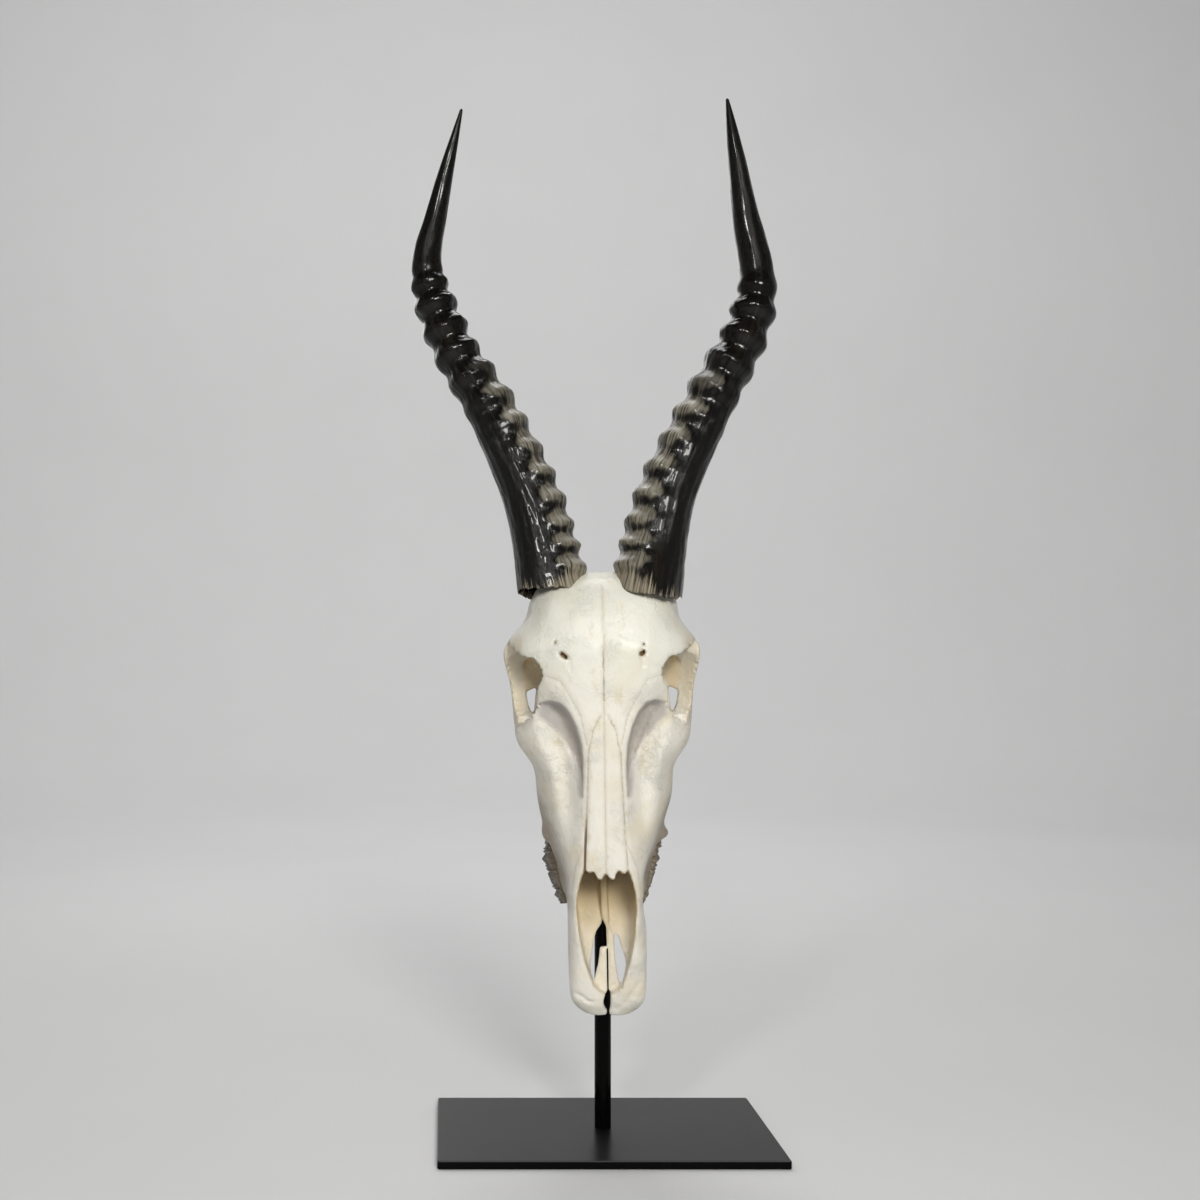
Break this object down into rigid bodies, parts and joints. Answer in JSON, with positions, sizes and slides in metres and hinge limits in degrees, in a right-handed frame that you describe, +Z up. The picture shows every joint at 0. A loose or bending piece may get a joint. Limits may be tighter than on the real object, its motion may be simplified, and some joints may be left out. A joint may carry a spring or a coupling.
{
  "type": "antelope skull on a stand",
  "caption": "Antelope skull without its lower jaw, with ringed lyre-shaped horns and cheek teeth, held upright by a rod on a flat steel plate for display.",
  "frame": {"origin": "centre of the base plate's underside", "axes": "+Z up along the rod, -Y the way the face looks, +X towards the animal's left"},
  "size_m": [0.2149, 0.1543, 0.6122],
  "materials": {
    "coated_steel": "satin",
    "bone": "satin",
    "horn": "gloss",
    "tooth": "satin"
  },
  "bodies": {
    "root": {"base_plate": "coated_steel", "rod": "coated_steel", "skull": "bone", "horn_sheath_left": "horn", "horn_sheath_right": "horn", "premolar_2_left": "tooth", "premolar_3_left": "tooth", "premolar_4_left": "tooth", "molar_1_left": "tooth", "molar_2_left": "tooth", "molar_3_left": "tooth", "premolar_2_right": "tooth", "premolar_3_right": "tooth", "premolar_4_right": "tooth", "molar_1_right": "tooth", "molar_2_right": "tooth", "molar_3_right": "tooth"}
  },
  "joints": []
}
